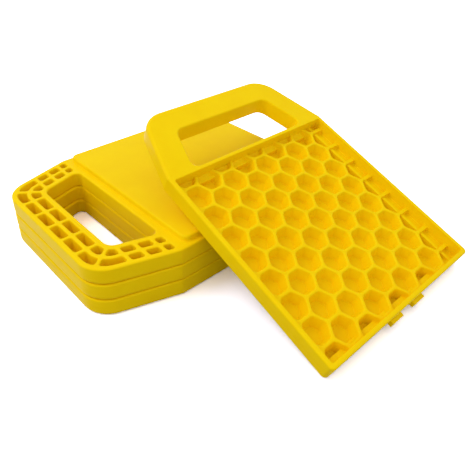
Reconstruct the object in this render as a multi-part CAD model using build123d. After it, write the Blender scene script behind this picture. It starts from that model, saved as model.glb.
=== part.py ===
"""A set of four one-piece nesting support pads, each with a carry handle, in millimetres.

Three pads are stacked, the top side up. The fourth leans on the edge of the stack with its
underside up and its foot end on the ground. World frame: +Z up, origin on the ground under
the middle of the whole set. The stacked pads point their handles to -Y, and the leaning pad
slopes down towards +X.

One pad is modelled in its own frame: x across, y from the handle to the foot end with 0 at
the line where the handle joins the body, z up from the rim plane to the top side.
"""

from build123d import *
import math
import os

# ------------------------------------------------------------------ sizes of one pad

pad_width = 166.0
body_length = 163.0
handle_length = 59.0
handle_end_width = 129.0
pad_height = 13.5  # rim plane to the handle's top side
plateau_height = 4.5  # the raised load face above the handle's top side

outer_wall = 3.6
bridge_wall = 3.5  # between the grip hole and the tray
floor_thickness = 3.0

handle_corner_radius = 22.0
kink_radius = 5.0
foot_corner_radius = 3.5
outer_edge_radius = 1.2

# The plateau of one pad fits into the tray of the pad above.
nest_gap = 0.6
plateau_setback = 1.5  # more room at the handle end of the plateau
plateau_corner_radius = 5.0
plateau_edge_radius = 1.6
nest_clearance = 2.0  # rib tips above the plateau that nests below them

# Honeycomb ribs in the tray. Flat sides of the cells run across the pad.
cell_row_pitch = 19.8
cell_column_pitch = 17.45
first_cell_y = 20.4
honeycomb_shift = 1.9  # its middle column beside the pad's middle
cell_columns_each_side = 5
cell_rows = 9
rib_thickness = 2.8
edge_rib_x = 70.5  # the straight rib beside one side wall
edge_rib_drop = 1.5  # it is a little lower than the honeycomb

# The grip hole and the open pockets round it, as distances in from the handle's outline.
grip_band = 23.5
grip_past_kink = 0.5
grip_inner_radius = 8.0
grip_body_radius = 5.0
outer_pocket_from = 4.0
outer_pocket_to = 10.3
inner_pocket_from = 13.2
inner_pocket_to = 19.5
pocket_margin = 1.0  # from the joint line to the first pockets
handle_floor = 3.0
end_rib_pitch = 19.7
end_ribs_each_side = 2
arm_rib_first = 8.0
arm_rib_pitch = 11.7
arm_rib_count = 3
pocket_rib = 3.0

# Two small tongues on the foot end wall.
tongue_width = 12.5
tongue_depth = 3.0
tongue_thickness = 4.0
tongue_spacing = 26.6
tongue_height = 5.0  # its lower face above the rim plane
tongue_radius = 0.8

# ------------------------------------------------------------------ how the set lies

stack_names = ["bottom_pad", "middle_pad", "top_pad"]
lean_angle = 22.1  # of the leaning pad, degrees from level
lean_center_y = 98.1  # its middle, along the stack's side
rest_gap = 0.3  # between the leaning pad and the stack's rounded edge

# ------------------------------------------------------------------ derived sizes

far = 400.0  # longer than a pad, for cutting shapes
handle_slope = math.atan2((pad_width - handle_end_width) / 2, handle_length)
tray_half_width = pad_width / 2 - outer_wall
tray_start = grip_past_kink + bridge_wall
tray_end = body_length - outer_wall
plateau_half_width = tray_half_width - nest_gap
plateau_start = tray_start + nest_gap + plateau_setback
plateau_end = tray_end - nest_gap
plateau_top = pad_height + plateau_height
rib_tip = plateau_height + nest_clearance
shoulder_floor = pad_height - floor_thickness
plateau_floor = plateau_top - floor_thickness


def box_face(x_low, x_high, y_low, y_high):
    """A flat rectangle between two corners."""
    center = Pos((x_low + x_high) / 2, (y_low + y_high) / 2)
    return center * Rectangle(x_high - x_low, y_high - y_low)


def corner_radius(inset):
    """The handle's corner radius at a distance in from its outline, down to the grip hole's."""
    return handle_corner_radius + (grip_inner_radius - handle_corner_radius) * inset / grip_band


def handle_region(inset, y_top, top_radius=0.0):
    """The handle's tapered outline set in all round, up to y_top, with its end corners rounded."""
    y_end = -handle_length + inset
    half_at_joint = pad_width / 2 - inset / math.cos(handle_slope)
    half_end = half_at_joint + y_end * math.tan(handle_slope)
    half_top = half_at_joint + y_top * math.tan(handle_slope)
    corners = [(-half_end, y_end), (half_end, y_end), (half_top, y_top), (-half_top, y_top)]
    region = make_face(Polyline(*corners, close=True))
    ends = region.vertices().sort_by(Axis.Y)[:2]
    region = fillet(ends, corner_radius(inset))
    if top_radius > 0:
        tops = region.vertices().sort_by(Axis.Y)[-2:]
        region = fillet(tops, top_radius)
    return region


def pad_outline():
    """The whole outline: a square-cornered body and a tapered handle."""
    half = pad_width / 2
    half_end = handle_end_width / 2
    corners = [
        (-half, body_length),
        (-half, 0),
        (-half_end, -handle_length),
        (half_end, -handle_length),
        (half, 0),
        (half, body_length),
    ]
    outline = make_face(Polyline(*corners, close=True))
    outline = fillet(outline.vertices().sort_by(Axis.Y)[:2], handle_corner_radius)
    outline = fillet(outline.vertices().filter_by(lambda v: abs(v.Y) < 1e-6), kink_radius)
    return fillet(outline.vertices().sort_by(Axis.Y)[-2:], foot_corner_radius)


def honeycomb_cells():
    """The open cells between the ribs, clipped to the tray."""
    tip = cell_column_pitch * 2 / 3 - rib_thickness / math.sqrt(3)
    flat = (cell_row_pitch - rib_thickness) / 2
    points = [(tip, 0), (tip / 2, flat), (-tip / 2, flat), (-tip, 0), (-tip / 2, -flat), (tip / 2, -flat)]
    cell = make_face(Polyline(*points, close=True))
    places = []
    for column in range(-cell_columns_each_side, cell_columns_each_side + 1):
        for row in range(-1, cell_rows):
            y = first_cell_y + (row + (column % 2) / 2) * cell_row_pitch
            places.append(Pos(honeycomb_shift + column * cell_column_pitch, y))
    cells = Sketch() + [place * cell for place in places]
    left_of_rib = edge_rib_x - rib_thickness / 2
    return cells & box_face(-tray_half_width, left_of_rib, tray_start, tray_end)


def between_cross_ribs(x_low, x_high):
    """A strip along one side of the tray, without the short ribs that cross it."""
    strip = Sketch() + box_face(x_low, x_high, tray_start, tray_end)
    bars = []
    for row in range(cell_rows):
        y = first_cell_y + (row - 0.5) * cell_row_pitch
        bars.append(box_face(x_low, x_high, y - rib_thickness / 2, y + rib_thickness / 2))
    return strip - bars


def handle_pockets():
    """Two rows of open pockets round the grip hole, between the cross ribs."""
    outer_row = handle_region(outer_pocket_from, -pocket_margin) - handle_region(outer_pocket_to, 0)
    inner_row = handle_region(inner_pocket_from, -pocket_margin) - handle_region(inner_pocket_to, 0)
    pockets = outer_row + inner_row
    half_rib = pocket_rib / 2
    bars = []
    bar_top = -handle_length + grip_band
    for index in range(-end_ribs_each_side, end_ribs_each_side + 1):
        x = index * end_rib_pitch
        bars.append(box_face(x - half_rib, x + half_rib, -handle_length, bar_top))
    for index in range(arm_rib_count):
        y = -arm_rib_first - index * arm_rib_pitch
        bars.append(box_face(-far, far, y - half_rib, y + half_rib))
    hole_half_width = pad_width / 2 - grip_band / math.cos(handle_slope)
    hole_half_end = hole_half_width + bar_top * math.tan(handle_slope)
    run = handle_end_width / 2 - hole_half_end
    drop = grip_band
    for side in (-1, 1):
        middle = Pos(side * (hole_half_end + run / 2), bar_top - drop / 2)
        angle = math.degrees(math.atan2(-drop, side * run))
        bars.append(middle * Rot(0, 0, angle) * Rectangle(math.hypot(run, drop) * 1.2, pocket_rib))
    return pockets - bars


def make_pad():
    """One moulded pad in its own frame."""
    body = extrude(pad_outline(), pad_height)
    flat_edges = body.edges().group_by(Axis.Z)
    body = fillet(flat_edges[0] + flat_edges[-1], outer_edge_radius)

    plateau_face = box_face(-plateau_half_width, plateau_half_width, plateau_start, plateau_end)
    plateau_face = fillet(plateau_face.vertices(), plateau_corner_radius)
    plateau = Pos(0, 0, shoulder_floor) * extrude(plateau_face, plateau_top - shoulder_floor)
    plateau = fillet(plateau.edges().group_by(Axis.Z)[-1], plateau_edge_radius)

    tongue = Box(tongue_width, tongue_depth + outer_wall / 2, tongue_thickness)
    tongue = fillet(tongue.edges().filter_by(Axis.Z).group_by(Axis.Y)[-1], tongue_radius)
    tongue_y = body_length + tongue_depth - (tongue_depth + outer_wall / 2) / 2
    tongues = [
        Pos(side * tongue_spacing / 2, tongue_y, tongue_height + tongue_thickness / 2) * tongue
        for side in (-1, 1)
    ]
    pad = body + plateau + tongues

    tray = extrude(box_face(-tray_half_width, tray_half_width, tray_start, tray_end), rib_tip)
    edge_rib_low = edge_rib_x - rib_thickness / 2
    edge_rib_high = edge_rib_x + rib_thickness / 2
    cells = honeycomb_cells() + between_cross_ribs(edge_rib_high, tray_half_width)
    shallow_cells = Pos(0, 0, rib_tip) * extrude(cells, shoulder_floor - rib_tip)
    inner_half = plateau_half_width - floor_thickness
    inside = box_face(
        -inner_half, inner_half, plateau_start + floor_thickness, plateau_end - floor_thickness
    )
    deep_cells = Pos(0, 0, shoulder_floor) * extrude(cells & inside, plateau_floor - shoulder_floor)
    over_edge_rib = Pos(0, 0, rib_tip) * extrude(
        between_cross_ribs(edge_rib_low, edge_rib_high), edge_rib_drop
    )
    pad = pad - tray - over_edge_rib - shallow_cells - deep_cells

    grip_hole = extrude(handle_region(grip_band, grip_past_kink, grip_body_radius), pad_height)
    pockets = Pos(0, 0, handle_floor) * extrude(handle_pockets(), pad_height - handle_floor)
    return pad - grip_hole - pockets


def lean_location():
    """Where the leaning pad's own frame lies in the stack's frame.

    The pad rests on two rounded edges: its own foot edge on the ground, and the near edge
    of the top pad's plateau. Both arcs have the plateau's edge radius.
    """
    angle = math.radians(lean_angle)
    stack_top = (len(stack_names) - 1) * pad_height + plateau_top
    edge_x = plateau_half_width - plateau_edge_radius
    edge_z = stack_top - plateau_edge_radius
    apart = 2 * plateau_edge_radius + rest_gap
    foot_rise = edge_z - plateau_edge_radius
    foot_x = edge_x + (apart + foot_rise * math.cos(angle)) / math.sin(angle)
    down = Vector(math.cos(angle), 0, -math.sin(angle))
    under = Vector(-math.sin(angle), 0, -math.cos(angle))
    foot = Vector(foot_x, lean_center_y, plateau_edge_radius)
    along = plateau_end - plateau_edge_radius
    up = plateau_top - plateau_edge_radius
    origin = foot - down * along - under * up
    return Plane(origin=origin, x_dir=(0, 1, 0), z_dir=under).location


os.makedirs("parts", exist_ok=True)
pad = make_pad()
pieces = {}
for level, name in enumerate(stack_names):
    pieces[name] = Pos(0, 0, level * pad_height) * pad
pieces["leaning_pad"] = lean_location() * pad

bounds = pieces["bottom_pad"].bounding_box()
for piece in pieces.values():
    bounds = bounds.add(piece.bounding_box())
middle = bounds.center()
for name, piece in pieces.items():
    export_step(Pos(-middle.X, -middle.Y, 0) * piece, f"parts/{name}.step")
print("set size", bounds.size, "lowest", bounds.min.Z, "moved by", -middle.X, -middle.Y)
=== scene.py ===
"""Looks for a set of four one-piece nesting support pads with carry handles.

Three pads are stacked with the top side up, and the fourth leans on the edge of the stack
with its honeycomb underside up. All four come out of one mould, so one pad is built in its
own frame and placed four times. In a pad's own frame x runs across, y from the handle to the
foot end with 0 where the handle joins the body, and z from the rim to the top side.
Lengths are in metres.
"""

import math

import bmesh
import bpy
from mathutils import Matrix, Vector

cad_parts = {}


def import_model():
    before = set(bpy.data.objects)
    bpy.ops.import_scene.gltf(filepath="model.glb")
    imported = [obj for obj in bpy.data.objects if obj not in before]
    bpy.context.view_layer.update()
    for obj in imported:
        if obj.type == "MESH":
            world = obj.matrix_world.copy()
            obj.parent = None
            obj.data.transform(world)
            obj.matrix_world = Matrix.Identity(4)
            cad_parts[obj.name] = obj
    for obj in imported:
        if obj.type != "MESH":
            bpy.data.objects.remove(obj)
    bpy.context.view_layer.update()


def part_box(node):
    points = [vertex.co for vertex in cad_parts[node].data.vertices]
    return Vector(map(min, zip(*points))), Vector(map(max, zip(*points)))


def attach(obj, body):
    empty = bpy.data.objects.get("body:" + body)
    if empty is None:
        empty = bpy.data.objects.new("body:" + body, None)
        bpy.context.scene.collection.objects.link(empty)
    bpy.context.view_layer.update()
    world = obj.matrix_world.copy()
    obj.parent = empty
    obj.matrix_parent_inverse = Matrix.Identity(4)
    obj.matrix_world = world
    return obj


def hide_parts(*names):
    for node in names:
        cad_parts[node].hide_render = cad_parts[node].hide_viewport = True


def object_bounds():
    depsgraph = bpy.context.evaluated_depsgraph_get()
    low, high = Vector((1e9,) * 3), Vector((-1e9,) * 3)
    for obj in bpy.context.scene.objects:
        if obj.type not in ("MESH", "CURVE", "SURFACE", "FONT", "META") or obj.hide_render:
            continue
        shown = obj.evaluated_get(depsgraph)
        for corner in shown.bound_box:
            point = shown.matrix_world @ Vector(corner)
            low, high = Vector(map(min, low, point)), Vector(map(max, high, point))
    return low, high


MM = 0.001

# The pad's outline.
PAD_WIDTH = 166 * MM
BODY_LENGTH = 163 * MM
HANDLE_LENGTH = 59 * MM
HANDLE_END_WIDTH = 129 * MM
HANDLE_CORNER_RADIUS = 22 * MM
KINK_RADIUS = 5 * MM
FOOT_CORNER_RADIUS = 3.5 * MM

# Heights and walls.
PAD_HEIGHT = 13.5 * MM
PLATEAU_HEIGHT = 4.5 * MM
OUTER_WALL = 3.6 * MM
BRIDGE_WALL = 3.5 * MM
FLOOR_THICKNESS = 3 * MM
NEST_GAP = 0.6 * MM
PLATEAU_SETBACK = 1.5 * MM
NEST_CLEARANCE = 2 * MM

# How far the mould's edges are rounded.
BODY_EDGE_RADIUS = 1.4 * MM
HANDLE_UNDER_RADIUS = 3.2 * MM
PLATEAU_EDGE_RADIUS = 1.6 * MM
PLATEAU_FOOT_RADIUS = 0.5 * MM
PLATEAU_CORNER_RADIUS = 5 * MM
TRAY_EDGE_RADIUS = 0.6 * MM
TRAY_CORNER_RADIUS = 1.5 * MM
RIB_EDGE_RADIUS = 1.2 * MM
GRIP_EDGE_RADIUS = 1.4 * MM
POCKET_EDGE_RADIUS = 1 * MM
CELL_CORNER_RADIUS = 3.2 * MM
CELL_DRAFT = 2 * MM  # how much narrower a cell is at its floor, on each side
SIDE_CELL_CORNER_RADIUS = 1.3 * MM
FLOOR_EDGE_RADIUS = 0.7 * MM
LEDGE_RADIUS = 1.2 * MM

# Honeycomb ribs.
CELL_ROW_PITCH = 19.8 * MM
CELL_COLUMN_PITCH = 17.45 * MM
FIRST_CELL_Y = 20.4 * MM
CELL_SHIFT_X = 1.9 * MM
CELL_COLUMNS = 11
CELL_ROWS = 9
RIB_THICKNESS = 2.8 * MM
EDGE_RIB_X = 70.5 * MM
EDGE_RIB_DROP = 1.5 * MM

# The grip hole and the open pockets round it, as distances in from the handle's outline.
GRIP_BAND = 24.4 * MM  # at the deck
GRIP_BAND_UNDER = 22.6 * MM  # at the underside, where the hole is wider
GRIP_PAST_KINK = 0.5 * MM
GRIP_INNER_RADIUS = 8 * MM
GRIP_BODY_RADIUS = 5 * MM
POCKET_ROWS = ((4.2 * MM, 10.4 * MM), (13.6 * MM, 19.8 * MM))
POCKET_MARGIN = 1 * MM
POCKET_FLOOR = 3 * MM
POCKET_CORNER_RADIUS = 1.6 * MM
POCKET_RIB = 3 * MM
END_RIB_PITCH = 19.7 * MM
END_RIBS_EACH_SIDE = 2
ARM_RIB_FIRST = 8 * MM
ARM_RIB_PITCH = 11.7 * MM
ARM_RIB_COUNT = 3

# The two tongues on the foot end.
TONGUE_WIDTH = 12.5 * MM
TONGUE_DEPTH = 3 * MM
TONGUE_THICKNESS = 4 * MM
TONGUE_SPACING = 26.6 * MM
TONGUE_HEIGHT = 5 * MM
TONGUE_RADIUS = 0.8 * MM

LEAN_ANGLE = math.radians(22.1)
STACK_NODES = ("bottom_pad", "middle_pad", "top_pad")
LEANING_NODE = "leaning_pad"

# Sizes that follow from the ones above.
HANDLE_SLOPE = math.atan2((PAD_WIDTH - HANDLE_END_WIDTH) / 2, HANDLE_LENGTH)
TRAY_HALF_WIDTH = PAD_WIDTH / 2 - OUTER_WALL
TRAY_START = GRIP_PAST_KINK + BRIDGE_WALL
TRAY_END = BODY_LENGTH - OUTER_WALL
PLATEAU_START = TRAY_START + NEST_GAP + PLATEAU_SETBACK
PLATEAU_END = TRAY_END - NEST_GAP
PLATEAU_TOP = PAD_HEIGHT + PLATEAU_HEIGHT
RIB_TIP = PLATEAU_HEIGHT + NEST_CLEARANCE
SHOULDER_FLOOR = PAD_HEIGHT - FLOOR_THICKNESS
PLATEAU_FLOOR = PLATEAU_TOP - FLOOR_THICKNESS

CLEAR = 2 * MM  # how far a cutting shape runs past the surface that it opens
LEAST_TURN = 1e-4  # a corner that turns less is taken as straight
LEAST_STEP = 0.01 * MM  # outline points closer than this count as one
ARC_STEP = math.radians(15)
OUTLINE_ARC_STEP = math.radians(7)
GRIP_ARC_STEP = math.radians(10)
ROW_ARC_STEP = math.radians(7.5)
SMALL_CORNER_STEP = math.radians(30)
SHARP_TURN = math.radians(35)
MITRE_LIMIT = 0.3
CELL_SLACK = 0.1 * MM  # keeps a cutting shape off the faces of the next one
NOTCH_SLACK = 0.3 * MM
MERGE_DISTANCE = 0.002 * MM
SMOOTH_ANGLE = math.radians(40)
EDGE_STEPS = 3
ROUND_STEPS = 4  # for the edges that show most


# ---------------------------------------------------------------- flat outlines


def rounded(corners, radii, step=ARC_STEP):
    """A closed outline through corners, each rounded by its radius with an arc."""
    points = []
    count = len(corners)
    for i in range(count):
        corner = Vector(corners[i])
        to_last = (Vector(corners[i - 1]) - corner).normalized()
        to_next = (Vector(corners[(i + 1) % count]) - corner).normalized()
        turn = math.pi - to_last.angle(to_next)
        radius = radii[i]
        if radius <= 0 or turn < LEAST_TURN:
            points.append(corner)
            continue
        reach = radius * math.tan(turn / 2)
        middle = (to_last + to_next).normalized()
        center = corner + middle * math.hypot(radius, reach)
        start = corner + to_last * reach - center
        steps = max(2, math.ceil(turn / step))
        side = 1 if to_last.cross(to_next) < 0 else -1
        for k in range(steps + 1):
            points.append(center + Matrix.Rotation(side * turn * k / steps, 2) @ start)
    return points


def grown(points, amounts):
    """An outline moved outwards by an amount, or by one amount per point.

    A negative amount moves it inwards.
    """
    count = len(points)
    if not hasattr(amounts, "__len__"):
        amounts = [amounts] * count
    moved = []
    for i in range(count):
        before = (points[i] - points[i - 1]).normalized()
        after = (points[(i + 1) % count] - points[i]).normalized()
        normal_before = Vector((before.y, -before.x))
        normal_after = Vector((after.y, -after.x))
        mitre = (normal_before + normal_after).normalized()
        moved.append(points[i] + mitre * amounts[i] / max(MITRE_LIMIT, mitre.dot(normal_after)))
    return moved


def clipped(points, origin, inward):
    """The part of an outline on one side of a line."""
    kept = []
    count = len(points)
    for i in range(count):
        a = points[i]
        b = points[(i + 1) % count]
        depth_a = (a - origin).dot(inward)
        depth_b = (b - origin).dot(inward)
        if depth_a >= 0:
            kept.append(a)
        if (depth_a >= 0) != (depth_b >= 0):
            kept.append(a.lerp(b, depth_a / (depth_a - depth_b)))
    return kept


def turns(points):
    """How far an outline turns at each point."""
    count = len(points)
    angles = []
    for i in range(count):
        before = points[i] - points[i - 1]
        angles.append(before.angle(points[(i + 1) % count] - points[i]))
    return angles


def softened(points, radius):
    """An outline with its sharp corners rounded and its smooth stretches kept."""
    apart = [p for i, p in enumerate(points) if (p - points[i - 1]).length > LEAST_STEP]
    sharp = [p for p, turn in zip(apart, turns(apart)) if turn > SHARP_TURN]
    kept = [p for p in apart if p in sharp or min((p - q).length for q in sharp) > radius * 2]
    radii = [radius if p in sharp else 0 for p in kept]
    return rounded(kept, radii, SMALL_CORNER_STEP)


def rectangle(x_low, x_high, y_low, y_high, radius):
    corners = [(x_low, y_low), (x_high, y_low), (x_high, y_high), (x_low, y_high)]
    return rounded(corners, [radius] * 4)


def pad_outline():
    """The tapered handle and the square-cornered body, counter-clockwise."""
    half = PAD_WIDTH / 2
    half_end = HANDLE_END_WIDTH / 2
    corners = [
        (-half_end, -HANDLE_LENGTH),
        (half_end, -HANDLE_LENGTH),
        (half, 0),
        (half, BODY_LENGTH),
        (-half, BODY_LENGTH),
        (-half, 0),
    ]
    radii = [
        HANDLE_CORNER_RADIUS,
        HANDLE_CORNER_RADIUS,
        KINK_RADIUS,
        FOOT_CORNER_RADIUS,
        FOOT_CORNER_RADIUS,
        KINK_RADIUS,
    ]
    return rounded(corners, radii, OUTLINE_ARC_STEP)


def handle_corners(inset, y_top):
    """The handle's four corners at a distance in from its outline."""
    y_end = -HANDLE_LENGTH + inset
    half_at_joint = PAD_WIDTH / 2 - inset / math.cos(HANDLE_SLOPE)
    half_end = half_at_joint + y_end * math.tan(HANDLE_SLOPE)
    half_top = half_at_joint + y_top * math.tan(HANDLE_SLOPE)
    return [(-half_end, y_end), (half_end, y_end), (half_top, y_top), (-half_top, y_top)]


def corner_radius(inset):
    """The handle's corner radius at a distance in from its outline."""
    share = inset / GRIP_BAND
    return HANDLE_CORNER_RADIUS + (GRIP_INNER_RADIUS - HANDLE_CORNER_RADIUS) * share


# ---------------------------------------------------------------- solids from outlines


def loft(rings):
    """A closed solid through rings of equal length, going up.

    Each ring is an outline and its height, or one height per point.
    """
    shape = bmesh.new()
    loops = []
    for outline, heights in rings:
        if not hasattr(heights, "__len__"):
            heights = [heights] * len(outline)
        loops.append([shape.verts.new((p.x, p.y, z)) for p, z in zip(outline, heights)])
    count = len(loops[0])
    for low, high in zip(loops, loops[1:]):
        for i in range(count):
            j = (i + 1) % count
            shape.faces.new((low[i], low[j], high[j], high[i]))
    shape.faces.new(list(reversed(loops[0])))
    shape.faces.new(loops[-1])
    return shape


def as_object(shape, name):
    """A bmesh as an object that only lends its mesh to the mould."""
    mesh = bpy.data.meshes.new(name)
    shape.to_mesh(mesh)
    shape.free()
    obj = bpy.data.objects.new(name, mesh)
    bpy.context.scene.collection.objects.link(obj)
    return obj


def joined(shapes):
    """Several solids as one bmesh."""
    whole = bmesh.new()
    for shape in shapes:
        part = bpy.data.meshes.new("part")
        shape.to_mesh(part)
        shape.free()
        whole.from_mesh(part)
        bpy.data.meshes.remove(part)
    return whole


def quarter(steps):
    """Angles from 0 to a right angle."""
    return [math.pi / 2 * k / max(1, steps) for k in range(steps + 1)]


def cutter(outline, floor, mouth, lip, opens_up, floor_radius=0.0):
    """A shape that cuts a pocket with a rounded lip at its mouth and a rounded floor edge.

    Floor and mouth are heights. The shape runs past the mouth by CLEAR.
    """
    side = 1 if opens_up else -1
    rings = []
    if floor_radius > 0:
        for a in quarter(EDGE_STEPS):
            inset = floor_radius * (1 - math.sin(a))
            rings.append((grown(outline, -inset), floor + side * floor_radius * (1 - math.cos(a))))
    else:
        rings.append((outline, floor))
    for a in quarter(EDGE_STEPS if lip > 0 else 0):
        flare = lip * (1 - math.cos(a))
        rings.append((grown(outline, flare), mouth - side * lip * (1 - math.sin(a))))
    rings.append((grown(outline, lip), mouth + side * CLEAR))
    if not opens_up:
        rings.reverse()
    return loft(rings)


def body_solid():
    """The pad's outer form without the plateau, its edges rounded more under the handle."""
    outline = pad_outline()
    under = []
    for p in outline:
        share = min(1, max(0, (-p.y + KINK_RADIUS / 2) / KINK_RADIUS))
        under.append(BODY_EDGE_RADIUS + (HANDLE_UNDER_RADIUS - BODY_EDGE_RADIUS) * share)
    rings = []
    for a in quarter(ROUND_STEPS):
        ring = grown(outline, [-r * (1 - math.sin(a)) for r in under])
        rings.append((ring, [r * (1 - math.cos(a)) for r in under]))
    for a in quarter(EDGE_STEPS):
        ring = grown(outline, -BODY_EDGE_RADIUS * (1 - math.cos(a)))
        rings.append((ring, PAD_HEIGHT - BODY_EDGE_RADIUS * (1 - math.sin(a))))
    return loft(rings)


def plateau_solid():
    """The raised load face, with a small fillet where it meets the deck."""
    half = TRAY_HALF_WIDTH - NEST_GAP
    outline = rectangle(-half, half, PLATEAU_START, PLATEAU_END, PLATEAU_CORNER_RADIUS)
    rings = [(grown(outline, PLATEAU_FOOT_RADIUS), SHOULDER_FLOOR + FLOOR_THICKNESS / 2)]
    for a in quarter(EDGE_STEPS):
        spread = PLATEAU_FOOT_RADIUS * (1 - math.sin(a))
        rings.append((grown(outline, spread), PAD_HEIGHT + PLATEAU_FOOT_RADIUS * (1 - math.cos(a))))
    for a in quarter(ROUND_STEPS):
        inset = PLATEAU_EDGE_RADIUS * (1 - math.cos(a))
        z = PLATEAU_TOP - PLATEAU_EDGE_RADIUS * (1 - math.sin(a))
        rings.append((grown(outline, -inset), z))
    return loft(rings)


def tongue_solids():
    """The two small tongues on the foot end wall."""
    shapes = []
    for side in (-1, 1):
        x = side * TONGUE_SPACING / 2
        corners = [
            (x - TONGUE_WIDTH / 2, BODY_LENGTH - OUTER_WALL / 2),
            (x + TONGUE_WIDTH / 2, BODY_LENGTH - OUTER_WALL / 2),
            (x + TONGUE_WIDTH / 2, BODY_LENGTH + TONGUE_DEPTH),
            (x - TONGUE_WIDTH / 2, BODY_LENGTH + TONGUE_DEPTH),
        ]
        outline = rounded(corners, [0, 0, TONGUE_RADIUS, TONGUE_RADIUS])
        shapes.append(loft([(outline, TONGUE_HEIGHT), (outline, TONGUE_HEIGHT + TONGUE_THICKNESS)]))
    return joined(shapes)


def tray_cutter():
    """The recess under the pad that takes the plateau of the pad below."""
    outline = rectangle(
        -TRAY_HALF_WIDTH, TRAY_HALF_WIDTH, TRAY_START, TRAY_END, TRAY_CORNER_RADIUS
    )
    return cutter(outline, RIB_TIP, 0, TRAY_EDGE_RADIUS, opens_up=False)


def cell_room(x_low, x_high):
    """The space that the cells may take: wide up to the deck, narrower inside the plateau."""
    slack = CELL_SLACK
    wide = (x_low + slack, x_high - slack, TRAY_START + slack, TRAY_END - slack)
    reach = TRAY_HALF_WIDTH - NEST_GAP - FLOOR_THICKNESS
    narrow = (
        max(x_low + 2 * slack, -reach),
        min(x_high - 2 * slack, reach),
        PLATEAU_START + FLOOR_THICKNESS,
        PLATEAU_END - FLOOR_THICKNESS,
    )
    outer = rectangle(*wide, TRAY_CORNER_RADIUS)
    inner = rectangle(*narrow, TRAY_CORNER_RADIUS)
    rings = [(outer, RIB_TIP - CLEAR / 2), (outer, SHOULDER_FLOOR - LEDGE_RADIUS)]
    for a in quarter(EDGE_STEPS):
        share = 1 - math.cos(a)
        ledge = [o.lerp(i, share) for o, i in zip(outer, inner)]
        rings.append((ledge, SHOULDER_FLOOR + LEDGE_RADIUS * (math.sin(a) - 1)))
    rings += [(inner, SHOULDER_FLOOR + LEDGE_RADIUS), (inner, PLATEAU_FLOOR + CLEAR)]
    return loft(rings)


def cell_cutter():
    """One six-sided cell round the origin, with a corner towards +X and -X."""
    across = (CELL_ROW_PITCH - RIB_THICKNESS) / 2
    tip = CELL_COLUMN_PITCH * 2 / 3 - RIB_THICKNESS / math.sqrt(3)
    corners = [
        (-tip, 0),
        (-tip / 2, -across),
        (tip / 2, -across),
        (tip, 0),
        (tip / 2, across),
        (-tip / 2, across),
    ]
    mouth = rounded(corners, [CELL_CORNER_RADIUS] * 6, SMALL_CORNER_STEP)
    rings = []
    for a in quarter(EDGE_STEPS):
        inset = CELL_DRAFT + FLOOR_EDGE_RADIUS * (1 - math.sin(a))
        rings.append((grown(mouth, -inset), PLATEAU_FLOOR - FLOOR_EDGE_RADIUS * (1 - math.cos(a))))
    for a in quarter(ROUND_STEPS):
        flare = RIB_EDGE_RADIUS * (1 - math.cos(a))
        rings.append((grown(mouth, flare), RIB_TIP + RIB_EDGE_RADIUS * (1 - math.sin(a))))
    rings.append((grown(mouth, RIB_EDGE_RADIUS), RIB_TIP - CLEAR))
    rings.reverse()
    return loft(rings)


def side_cell_cutters():
    """The square cells beside the straight rib, and the notches that lower that rib."""
    low = EDGE_RIB_X - RIB_THICKNESS / 2
    high = EDGE_RIB_X + RIB_THICKNESS / 2
    shapes = []
    for row in range(CELL_ROWS):
        y_low = FIRST_CELL_Y + (row - 1.5) * CELL_ROW_PITCH + RIB_THICKNESS / 2
        y_high = y_low + CELL_ROW_PITCH - RIB_THICKNESS
        y_low = max(y_low, TRAY_START + CELL_SLACK)
        y_high = min(y_high, TRAY_END - CELL_SLACK)
        if y_high - y_low < RIB_THICKNESS:
            continue
        x_high = TRAY_HALF_WIDTH - CELL_SLACK
        cell = rectangle(high, x_high, y_low, y_high, SIDE_CELL_CORNER_RADIUS)
        shapes.append(cutter(cell, SHOULDER_FLOOR, RIB_TIP, 0.0, False, FLOOR_EDGE_RADIUS))
        notch = rectangle(low - NOTCH_SLACK, high + CLEAR, y_low, y_high, NOTCH_SLACK)
        shapes.append(cutter(notch, RIB_TIP + EDGE_RIB_DROP, RIB_TIP, 0.0, False))
    return joined(shapes)


def grip_cutter():
    """The hole through the handle, both of its mouths rounded."""
    radii = [GRIP_INNER_RADIUS, GRIP_INNER_RADIUS, GRIP_BODY_RADIUS, GRIP_BODY_RADIUS]
    low, high = [
        rounded(handle_corners(band, GRIP_PAST_KINK), radii, GRIP_ARC_STEP)
        for band in (GRIP_BAND_UNDER, GRIP_BAND)
    ]
    rings = [(grown(low, GRIP_EDGE_RADIUS), -CLEAR)]
    for a in quarter(ROUND_STEPS):
        flare = GRIP_EDGE_RADIUS * (1 - math.sin(a))
        rings.append((grown(low, flare), GRIP_EDGE_RADIUS * (1 - math.cos(a))))
    for a in quarter(ROUND_STEPS):
        flare = GRIP_EDGE_RADIUS * (1 - math.cos(a))
        rings.append((grown(high, flare), PAD_HEIGHT - GRIP_EDGE_RADIUS * (1 - math.sin(a))))
    rings.append((grown(high, GRIP_EDGE_RADIUS), PAD_HEIGHT + CLEAR))
    return loft(rings)


def half_row(inset_low, inset_high):
    """Half of one pocket row, from the middle of the end bar round the corner to the joint line."""
    sides = []
    for inset in (inset_low, inset_high):
        corners = handle_corners(inset, -POCKET_MARGIN)
        corners[0] = (-END_RIB_PITCH, corners[0][1])
        corners[3] = (-END_RIB_PITCH, corners[3][1])
        radii = [0, corner_radius(inset), 0, 0]
        sides.append(rounded(corners, radii, ROW_ARC_STEP)[:-1])
    return sides[0] + list(reversed(sides[1]))


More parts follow.
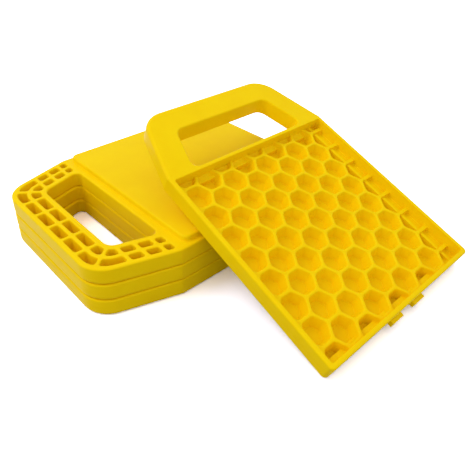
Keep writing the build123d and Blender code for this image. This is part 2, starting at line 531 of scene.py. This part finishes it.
def pocket_lines():
    """The cross ribs of half the handle, in order, each a point on it and the way along the row."""
    lines = []
    for index in range(END_RIBS_EACH_SIDE + 1):
        lines.append((Vector((index * END_RIB_PITCH, 0)), Vector((1, 0))))
    hole = Vector(handle_corners(GRIP_BAND, 0)[1])
    outer = Vector((HANDLE_END_WIDTH / 2, -HANDLE_LENGTH))
    out = (outer - hole).normalized()
    lines.append((hole, Vector((-out.y, out.x))))
    for index in reversed(range(ARM_RIB_COUNT)):
        lines.append((Vector((0, -ARM_RIB_FIRST - index * ARM_RIB_PITCH)), Vector((0, 1))))
    return lines


def pocket_cutters():
    """The open pockets round the grip hole, in two rows, left and right alike."""
    shapes = []
    lines = pocket_lines()
    for inset_low, inset_high in POCKET_ROWS:
        strip = half_row(inset_low, inset_high)
        for index, (origin, along) in enumerate(lines):
            pocket = clipped(strip, origin + along * POCKET_RIB / 2, along)
            if index + 1 < len(lines):
                end, end_along = lines[index + 1]
                pocket = clipped(pocket, end - end_along * POCKET_RIB / 2, -end_along)
            pocket = softened(pocket, POCKET_CORNER_RADIUS)
            for outline in (pocket, [Vector((-p.x, p.y)) for p in reversed(pocket)]):
                shapes.append(
                    cutter(
                        outline,
                        POCKET_FLOOR,
                        PAD_HEIGHT,
                        POCKET_EDGE_RADIUS,
                        opens_up=True,
                        floor_radius=FLOOR_EDGE_RADIUS,
                    )
                )
    return joined(shapes)


# ---------------------------------------------------------------- the mould


def new_tree(name, inputs):
    """A geometry tree with named inputs, its input and output nodes, and its links."""
    tree = bpy.data.node_groups.new(name, "GeometryNodeTree")
    for label, kind in inputs:
        tree.interface.new_socket(label, in_out="INPUT", socket_type=kind)
    tree.interface.new_socket("Geometry", in_out="OUTPUT", socket_type="NodeSocketGeometry")
    return tree, tree.nodes.new("NodeGroupInput"), tree.nodes.new("NodeGroupOutput")


def math_node(tree, operation, a, b):
    """One Math node. Each operand is a number or a socket."""
    node = tree.nodes.new("ShaderNodeMath")
    node.operation = operation
    for socket, value in zip(node.inputs, (a, b)):
        if isinstance(value, (int, float)):
            socket.default_value = value
        else:
            tree.links.new(value, socket)
    return node.outputs[0]


def object_geometry(tree, source):
    """The mesh of an object that the tree takes as an input."""
    info = tree.nodes.new("GeometryNodeObjectInfo")
    tree.links.new(source, info.inputs["Object"])
    return info.outputs["Geometry"]


def boolean(tree, operation, first, others):
    """An exact Mesh Boolean of a mesh with several others."""
    node = tree.nodes.new("GeometryNodeMeshBoolean")
    node.operation = operation
    node.solver = "EXACT"
    if operation == "DIFFERENCE":
        tree.links.new(first, node.inputs["Mesh 1"])
    else:
        tree.links.new(first, node.inputs["Mesh 2"])
    for other in others:
        tree.links.new(other, node.inputs["Mesh 2"])
    return node.outputs["Mesh"]


def honeycomb_tree():
    """Cells on a staggered lattice, kept where there is room for them."""
    tree, source, out = new_tree(
        "honeycomb",
        [
            ("Geometry", "NodeSocketGeometry"),
            ("Cell", "NodeSocketObject"),
            ("Room", "NodeSocketObject"),
            ("Columns", "NodeSocketInt"),
            ("Rows", "NodeSocketInt"),
            ("Column Pitch", "NodeSocketFloat"),
            ("Row Pitch", "NodeSocketFloat"),
            ("First Cell Y", "NodeSocketFloat"),
            ("Shift X", "NodeSocketFloat"),
            ("Material", "NodeSocketMaterial"),
        ],
    )
    links = tree.links
    total = math_node(tree, "MULTIPLY", source.outputs["Columns"], source.outputs["Rows"])
    spots = tree.nodes.new("GeometryNodePoints")
    links.new(total, spots.inputs["Count"])

    index = tree.nodes.new("GeometryNodeInputIndex").outputs[0]
    column = math_node(tree, "MODULO", index, source.outputs["Columns"])
    row = math_node(tree, "FLOOR", math_node(tree, "DIVIDE", index, source.outputs["Columns"]), 0)
    middle = math_node(tree, "FLOOR", math_node(tree, "DIVIDE", source.outputs["Columns"], 2), 0)
    from_middle = math_node(tree, "SUBTRACT", column, middle)
    across = math_node(tree, "MULTIPLY", from_middle, source.outputs["Column Pitch"])
    x = math_node(tree, "ADD", across, source.outputs["Shift X"])
    stagger = math_node(tree, "MULTIPLY", math_node(tree, "PINGPONG", from_middle, 1), 0.5)
    steps = math_node(tree, "ADD", math_node(tree, "SUBTRACT", row, 1), stagger)
    along = math_node(tree, "MULTIPLY", steps, source.outputs["Row Pitch"])
    y = math_node(tree, "ADD", along, source.outputs["First Cell Y"])
    place = tree.nodes.new("ShaderNodeCombineXYZ")
    links.new(x, place.inputs["X"])
    links.new(y, place.inputs["Y"])
    links.new(place.outputs[0], spots.inputs["Position"])

    scatter = tree.nodes.new("GeometryNodeInstanceOnPoints")
    links.new(spots.outputs[0], scatter.inputs["Points"])
    links.new(object_geometry(tree, source.outputs["Cell"]), scatter.inputs["Instance"])
    real = tree.nodes.new("GeometryNodeRealizeInstances")
    links.new(scatter.outputs[0], real.inputs[0])
    room = object_geometry(tree, source.outputs["Room"])
    cells = boolean(tree, "INTERSECT", real.outputs[0], [room])
    finish = tree.nodes.new("GeometryNodeSetMaterial")
    links.new(cells, finish.inputs["Geometry"])
    links.new(source.outputs["Material"], finish.inputs["Material"])
    links.new(finish.outputs[0], out.inputs[0])
    return tree


def evaluated(obj, tree, values):
    """A plain mesh of the object with the tree's result, its inputs set by name."""
    modifier = obj.modifiers.new(tree.name, "NODES")
    modifier.node_group = tree
    sockets = {s.name: s.identifier for s in tree.interface.items_tree if s.in_out == "INPUT"}
    for name, value in values.items():
        modifier[sockets[name]] = value
    obj.update_tag()
    depsgraph = bpy.context.evaluated_depsgraph_get()
    mesh = bpy.data.meshes.new_from_object(obj.evaluated_get(depsgraph))
    obj.modifiers.remove(modifier)
    return mesh


def honeycomb_cutters(material):
    """All the cells as one mesh, for cutting."""
    cell = as_object(cell_cutter(), "cell")
    room = as_object(cell_room(-TRAY_HALF_WIDTH, EDGE_RIB_X - RIB_THICKNESS / 2), "cell_room")
    carrier = as_object(bmesh.new(), "honeycomb_cells")
    values = {
        "Cell": cell,
        "Room": room,
        "Columns": CELL_COLUMNS,
        "Rows": CELL_ROWS,
        "Column Pitch": CELL_COLUMN_PITCH,
        "Row Pitch": CELL_ROW_PITCH,
        "First Cell Y": FIRST_CELL_Y,
        "Shift X": CELL_SHIFT_X,
        "Material": material,
    }
    carrier.data = evaluated(carrier, honeycomb_tree(), values)
    for helper in (cell, room):
        bpy.data.objects.remove(helper)
    return carrier


def mould_tree(added, removed):
    """One tree that joins what is added to the body and takes away what is removed."""
    labels = added + removed
    inputs = [("Geometry", "NodeSocketGeometry")]
    inputs += [(label, "NodeSocketObject") for label in labels]
    inputs.append(("Material", "NodeSocketMaterial"))
    tree, source, out = new_tree("pad_mould", inputs)
    shapes = {label: object_geometry(tree, source.outputs[label]) for label in labels}
    whole = boolean(tree, "UNION", source.outputs["Geometry"], [shapes[n] for n in added])
    cut = boolean(tree, "DIFFERENCE", whole, [shapes[n] for n in removed])
    real = tree.nodes.new("GeometryNodeRealizeInstances")
    tree.links.new(cut, real.inputs[0])
    finish = tree.nodes.new("GeometryNodeSetMaterial")
    tree.links.new(real.outputs[0], finish.inputs["Geometry"])
    tree.links.new(source.outputs["Material"], finish.inputs["Material"])
    tree.links.new(finish.outputs[0], out.inputs[0])
    return tree


def moulded_pad(material):
    """The mesh of one pad in its own frame."""
    body = as_object(body_solid(), "body")
    added = {
        "plateau": as_object(plateau_solid(), "plateau"),
        "tongues": as_object(tongue_solids(), "tongues"),
    }
    removed = {
        "tray": as_object(tray_cutter(), "tray"),
        "cells": honeycomb_cutters(material),
        "side_cells": as_object(side_cell_cutters(), "side_cells"),
        "grip": as_object(grip_cutter(), "grip"),
        "pockets": as_object(pocket_cutters(), "pockets"),
    }
    tree = mould_tree(list(added), list(removed))
    mesh = evaluated(body, tree, {**added, **removed, "Material": material})
    mesh.name = "pad"
    for helper in (body, *added.values(), *removed.values()):
        bpy.data.objects.remove(helper)
    return mesh


def with_even_shading(mesh):
    """The mesh with smooth rounded edges and flat faces that stay flat."""
    shape = bmesh.new()
    shape.from_mesh(mesh)
    bmesh.ops.remove_doubles(shape, verts=shape.verts, dist=MERGE_DISTANCE)
    bmesh.ops.dissolve_degenerate(shape, edges=shape.edges, dist=MERGE_DISTANCE)
    bmesh.ops.recalc_face_normals(shape, faces=shape.faces)
    for face in shape.faces:
        face.smooth = True
    shape.to_mesh(mesh)
    shape.free()
    mesh.set_sharp_from_angle(angle=SMOOTH_ANGLE)
    carrier = bpy.data.objects.new("shading", mesh)
    bpy.context.scene.collection.objects.link(carrier)
    weigh = carrier.modifiers.new("weigh", "WEIGHTED_NORMAL")
    weigh.keep_sharp = True
    depsgraph = bpy.context.evaluated_depsgraph_get()
    shaded = bpy.data.meshes.new_from_object(carrier.evaluated_get(depsgraph))
    bpy.data.objects.remove(carrier)
    return shaded


# ---------------------------------------------------------------- material


TINT_DARK = (0.93, 0.63, 0.001, 1)
TINT_LIGHT = (0.96, 0.67, 0.002, 1)
TINT_BAND = (0.3, 0.7)  # the noise levels from which and up to which the tint changes
MOTTLE_SCALE = 38
ROUGHNESS = (0.36, 0.5)
SPECULAR_LEVEL = 0.03
SUBSURFACE_WEIGHT = 0.15
SUBSURFACE_RADIUS = (1.0, 0.7, 0.05)
SUBSURFACE_SCALE = 2 * MM
GRAIN_SCALE = 1800
GRAIN_STRENGTH = 0.12
GRAIN_DEPTH = 0.05 * MM


def pad_plastic():
    """Satin yellow plastic with a fine mould grain and slight mottling."""
    material = bpy.data.materials.new("pad_plastic")
    material.use_nodes = True
    nodes = material.node_tree.nodes
    links = material.node_tree.links
    shader = nodes["Principled BSDF"]
    shader.inputs["Subsurface Weight"].default_value = SUBSURFACE_WEIGHT
    shader.inputs["Subsurface Radius"].default_value = SUBSURFACE_RADIUS
    shader.inputs["Subsurface Scale"].default_value = SUBSURFACE_SCALE
    shader.inputs["Specular IOR Level"].default_value = SPECULAR_LEVEL

    place = nodes.new("ShaderNodeTexCoord").outputs["Object"]
    mottle = nodes.new("ShaderNodeTexNoise")
    mottle.inputs["Scale"].default_value = MOTTLE_SCALE
    mottle.inputs["Detail"].default_value = 4
    mottle.inputs["Roughness"].default_value = 0.6
    links.new(place, mottle.inputs["Vector"])
    tint = nodes.new("ShaderNodeValToRGB")
    for stop, position, color in zip(tint.color_ramp.elements, TINT_BAND, (TINT_DARK, TINT_LIGHT)):
        stop.position = position
        stop.color = color
    links.new(mottle.outputs["Fac"], tint.inputs["Fac"])
    links.new(tint.outputs["Color"], shader.inputs["Base Color"])

    gloss = nodes.new("ShaderNodeMapRange")
    gloss.inputs["To Min"].default_value, gloss.inputs["To Max"].default_value = ROUGHNESS
    links.new(mottle.outputs["Fac"], gloss.inputs["Value"])
    links.new(gloss.outputs["Result"], shader.inputs["Roughness"])

    grain = nodes.new("ShaderNodeTexNoise")
    grain.inputs["Scale"].default_value = GRAIN_SCALE
    grain.inputs["Detail"].default_value = 3
    links.new(place, grain.inputs["Vector"])
    bump = nodes.new("ShaderNodeBump")
    bump.inputs["Strength"].default_value = GRAIN_STRENGTH
    bump.inputs["Distance"].default_value = GRAIN_DEPTH
    links.new(grain.outputs["Fac"], bump.inputs["Height"])
    links.new(bump.outputs["Normal"], shader.inputs["Normal"])
    return material


# ---------------------------------------------------------------- pieces


def stack_place(node):
    """Where a stacked pad's own frame lies."""
    low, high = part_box(node)
    return Matrix.Translation(((low.x + high.x) / 2, low.y + HANDLE_LENGTH, low.z))


def lean_place(mesh):
    """Where the leaning pad's own frame lies: turned over and sloping down to +X.

    The mesh's box starts at the node's low corner.
    """
    across = Vector((0, 1, 0))
    down = Vector((math.cos(LEAN_ANGLE), 0, -math.sin(LEAN_ANGLE)))
    under = across.cross(down)
    turn = Matrix((across, down, under)).transposed()
    spots = [turn @ v.co for v in mesh.vertices]
    corner = Vector([min(p[axis] for p in spots) for axis in range(3)])
    return Matrix.Translation(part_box(LEANING_NODE)[0] - corner) @ turn.to_4x4()


def add_pad(node, pad, place):
    """One pad of the set in place of its CAD node."""
    mesh = pad.copy()
    mesh.transform(place)
    piece = bpy.data.objects.new(node + "_moulding", mesh)
    bpy.context.scene.collection.objects.link(piece)
    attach(piece, node)
    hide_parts(node)


# ---------------------------------------------------------------- stage


CAMERA_YAW = math.radians(-47.60)
CAMERA_PITCH = math.radians(31.91)
CAMERA_ROLL = math.radians(-0.59)
CAMERA_IN_PAD_WIDTHS = Vector((1.792, -0.993, 1.542))
LENS = 38.83
SHIFT = (0.0431, -0.0992)
SENSOR_WIDTH = 36
CLIP_RANGE = (0.01, 20)

LAMP_TARGET = Vector((0, 0, 0.03))
LAMP_SIZE = 0.7
KEY_SPOT = (-0.5, -0.8, 1.3)
KEY_POWER = 6.5
FILL_SPOT = (1.1, -0.9, 0.4)
FILL_POWER = 0.8
WORLD_LIGHT = 0.8
WORLD_SHOWN = 1.0  # pure white
FLOOR_HALF_SIZE = 4
FLOOR_DROP = 0.1 * MM
FLOOR_LIGHT = (0.35, 0.35, 0.35, 1)  # what it gives to the pads
FLOOR_SHOWN = (1.9, 1.95, 2.3, 1)  # what is seen of it: white but for the deepest shadow


def add_camera():
    """The camera, placed from the middle of the bottom pad's joint line."""
    camera = bpy.data.objects.new("camera", bpy.data.cameras.new("camera"))
    bpy.context.scene.collection.objects.link(camera)
    forward = Vector(
        (
            math.sin(CAMERA_YAW) * math.cos(CAMERA_PITCH),
            math.cos(CAMERA_YAW) * math.cos(CAMERA_PITCH),
            -math.sin(CAMERA_PITCH),
        )
    )
    level = Vector((math.cos(CAMERA_YAW), -math.sin(CAMERA_YAW), 0))
    down = forward.cross(level)
    right = level * math.cos(CAMERA_ROLL) + down * math.sin(CAMERA_ROLL)
    up = -forward.cross(right)
    turn = Matrix((right, up, -forward)).transposed()
    origin = stack_place("bottom_pad").translation
    spot = origin + CAMERA_IN_PAD_WIDTHS * PAD_WIDTH
    camera.matrix_world = Matrix.Translation(spot) @ turn.to_4x4()
    camera.data.sensor_width = SENSOR_WIDTH
    camera.data.lens = LENS
    camera.data.shift_x, camera.data.shift_y = SHIFT
    camera.data.clip_start, camera.data.clip_end = CLIP_RANGE
    bpy.context.scene.camera = camera


def add_lamp(name, spot, power):
    """A square soft lamp that faces the set."""
    lamp = bpy.data.lights.new(name, "AREA")
    lamp.size = LAMP_SIZE
    lamp.energy = power
    holder = bpy.data.objects.new(name, lamp)
    holder.location = spot
    holder.rotation_euler = (LAMP_TARGET - Vector(spot)).to_track_quat("-Z", "Y").to_euler()
    bpy.context.scene.collection.objects.link(holder)


def seen_directly(tree):
    """1 for what the camera, a reflection or glass shows directly."""
    path = tree.nodes.new("ShaderNodeLightPath")
    shown = path.outputs["Is Camera Ray"]
    for name in ("Is Glossy Ray", "Is Transmission Ray"):
        shown = math_node(tree, "MAXIMUM", shown, path.outputs[name])
    return shown


def add_world():
    """An even pale light, and white behind everything."""
    world = bpy.data.worlds.new("studio")
    bpy.context.scene.world = world
    world.use_nodes = True
    tree = world.node_tree
    background = tree.nodes["Background"]
    background.inputs["Color"].default_value = (1, 1, 1, 1)
    amount = tree.nodes.new("ShaderNodeMapRange")
    amount.inputs["To Min"].default_value = WORLD_LIGHT
    amount.inputs["To Max"].default_value = WORLD_SHOWN
    tree.links.new(seen_directly(tree), amount.inputs["Value"])
    tree.links.new(amount.outputs["Result"], background.inputs["Strength"])


def add_floor():
    """A plain white floor that keeps the shadow."""
    low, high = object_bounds()
    shape = bmesh.new()
    bmesh.ops.create_grid(shape, x_segments=1, y_segments=1, size=FLOOR_HALF_SIZE)
    mesh = bpy.data.meshes.new("floor")
    shape.to_mesh(mesh)
    shape.free()
    floor = bpy.data.objects.new("floor", mesh)
    floor.location = ((low.x + high.x) / 2, (low.y + high.y) / 2, low.z - FLOOR_DROP)
    bpy.context.scene.collection.objects.link(floor)
    material = bpy.data.materials.new("floor_white")
    material.use_nodes = True
    tree = material.node_tree
    tree.nodes.remove(tree.nodes["Principled BSDF"])
    plain = tree.nodes.new("ShaderNodeBsdfDiffuse")
    plain.inputs["Color"].default_value = FLOOR_LIGHT
    bright = tree.nodes.new("ShaderNodeBsdfDiffuse")
    bright.inputs["Color"].default_value = FLOOR_SHOWN
    mix = tree.nodes.new("ShaderNodeMixShader")
    tree.links.new(seen_directly(tree), mix.inputs["Fac"])
    tree.links.new(plain.outputs[0], mix.inputs[1])
    tree.links.new(bright.outputs[0], mix.inputs[2])
    tree.links.new(mix.outputs[0], tree.nodes["Material Output"].inputs["Surface"])
    mesh.materials.append(material)


def main():
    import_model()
    bpy.context.scene.view_settings.view_transform = "Standard"
    plastic = pad_plastic()
    pad = with_even_shading(moulded_pad(plastic))
    for node in STACK_NODES:
        add_pad(node, pad, stack_place(node))
    add_pad(LEANING_NODE, pad, lean_place(pad))
    add_camera()
    add_lamp("key", KEY_SPOT, KEY_POWER)
    add_lamp("fill", FILL_SPOT, FILL_POWER)
    add_world()
    add_floor()


main()
